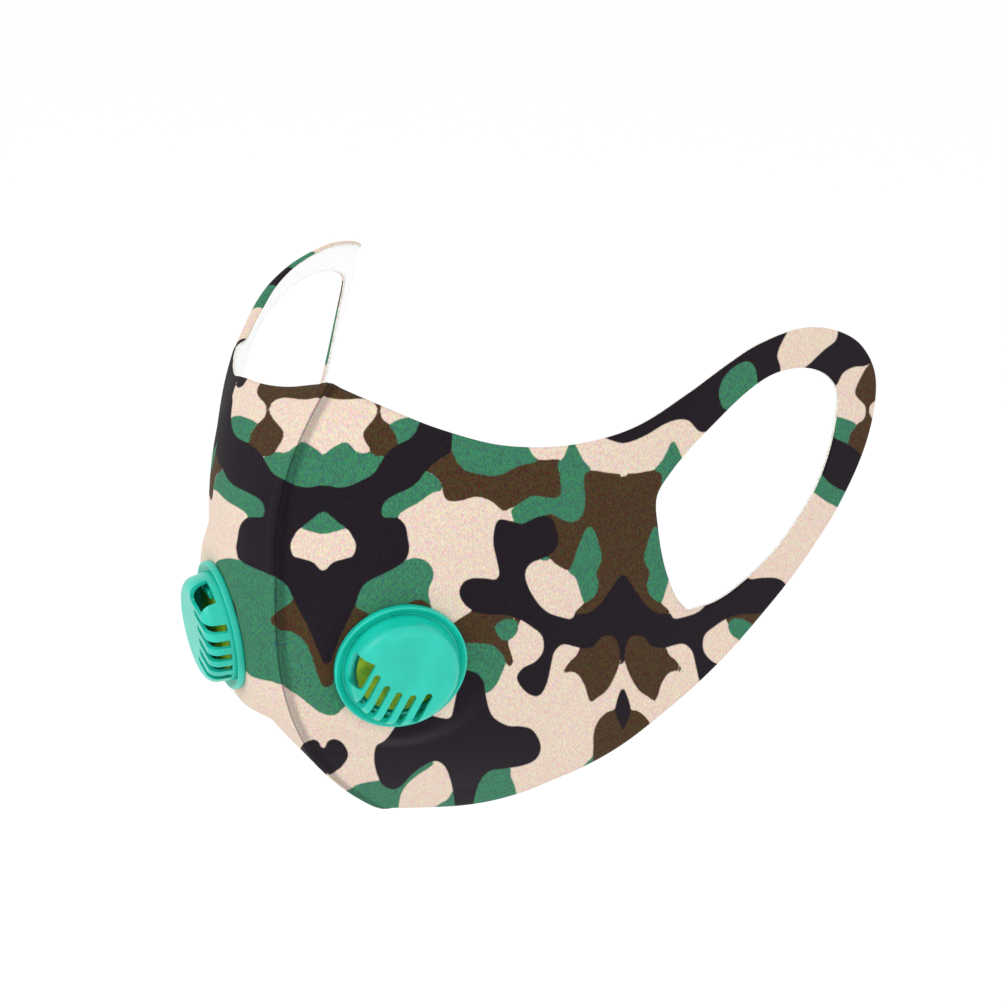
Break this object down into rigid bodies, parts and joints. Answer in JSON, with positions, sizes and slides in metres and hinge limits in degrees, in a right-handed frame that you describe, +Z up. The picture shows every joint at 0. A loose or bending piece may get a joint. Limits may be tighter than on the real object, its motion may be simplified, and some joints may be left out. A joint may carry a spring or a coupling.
{
  "type": "face mask",
  "caption": "Reusable cloth face mask with a camouflage print, ear loops cut in one with its halves, a curved centre seam and a round plastic exhalation valve beside the seam on each half.",
  "frame": {"origin": "on the plane of symmetry, 20 mm behind the front of the centre seam, where the wearer's lips are", "axes": "+Z up, -Y is the way the wearer looks, +X towards the wearer's left ear"},
  "size_m": [0.1938, 0.1894, 0.1448],
  "materials": {
    "camo_fabric": "fine knit, printed in tan, green, brown and black",
    "foam": "soft open foam",
    "lining": "fine white knit",
    "seam_tape": "woven white tape",
    "thread": "twisted white thread",
    "valve_plastic": "semi-gloss moulded teal",
    "valve_flap": "thin smooth silicone, lime green"
  },
  "bodies": {
    "mask": {"left_panel_face": "camo_fabric", "left_panel_foam": "foam", "left_panel_lining": "lining", "right_panel_face": "camo_fabric", "right_panel_foam": "foam", "right_panel_lining": "lining", "seam_tape": "seam_tape", "seam_stitching": "thread", "left_valve_seat": "valve_plastic", "left_flap_clip": "valve_plastic", "left_back_grille": "valve_plastic", "right_valve_seat": "valve_plastic", "right_flap_clip": "valve_plastic", "right_back_grille": "valve_plastic"},
    "left_ear_loop": {"left_loop_face": "camo_fabric", "left_loop_foam": "foam", "left_loop_lining": "lining"},
    "left_cover": {"left_valve_cover": "valve_plastic"},
    "left_flap": {"left_valve_flap": "valve_flap"},
    "right_ear_loop": {"right_loop_face": "camo_fabric", "right_loop_foam": "foam", "right_loop_lining": "lining"},
    "right_cover": {"right_valve_cover": "valve_plastic"},
    "right_flap": {"right_valve_flap": "valve_flap"}
  },
  "joints": [
    {"name": "left_loop_swing", "type": "hinge", "parent": "mask", "child": "left_ear_loop", "pos_m": [0.0774, 0.0885, -0.004], "axis": [0, 0, 1], "range_deg": [-60, 60], "stiffness_Nm_per_rad": 0.001},
    {"name": "left_cover_turn", "type": "hinge", "parent": "mask", "child": "left_cover", "pos_m": [0.03091, -0.00175, -0.026], "axis": [0.7223, -0.6736, -0.1564], "continuous": true},
    {"name": "left_flap_lift", "type": "hinge", "parent": "mask", "child": "left_flap", "pos_m": [0.03409, -0.00471, -0.01454], "axis": [-0.682, -0.7314, 0], "range_deg": [0, 10], "stiffness_Nm_per_rad": 0.0008, "springref_deg": -5.73},
    {"name": "right_loop_swing", "type": "hinge", "parent": "mask", "child": "right_ear_loop", "pos_m": [-0.0774, 0.0885, -0.004], "axis": [0, 0, -1], "range_deg": [-60, 60], "stiffness_Nm_per_rad": 0.001},
    {"name": "right_cover_turn", "type": "hinge", "parent": "mask", "child": "right_cover", "pos_m": [-0.03091, -0.00175, -0.026], "axis": [-0.6081, -0.7783, -0.1564], "continuous": true},
    {"name": "right_flap_lift", "type": "hinge", "parent": "mask", "child": "right_flap", "pos_m": [-0.03359, -0.00517, -0.01454], "axis": [-0.788, 0.6157, 0], "range_deg": [0, 10], "stiffness_Nm_per_rad": 0.0008, "springref_deg": -5.73}
  ]
}
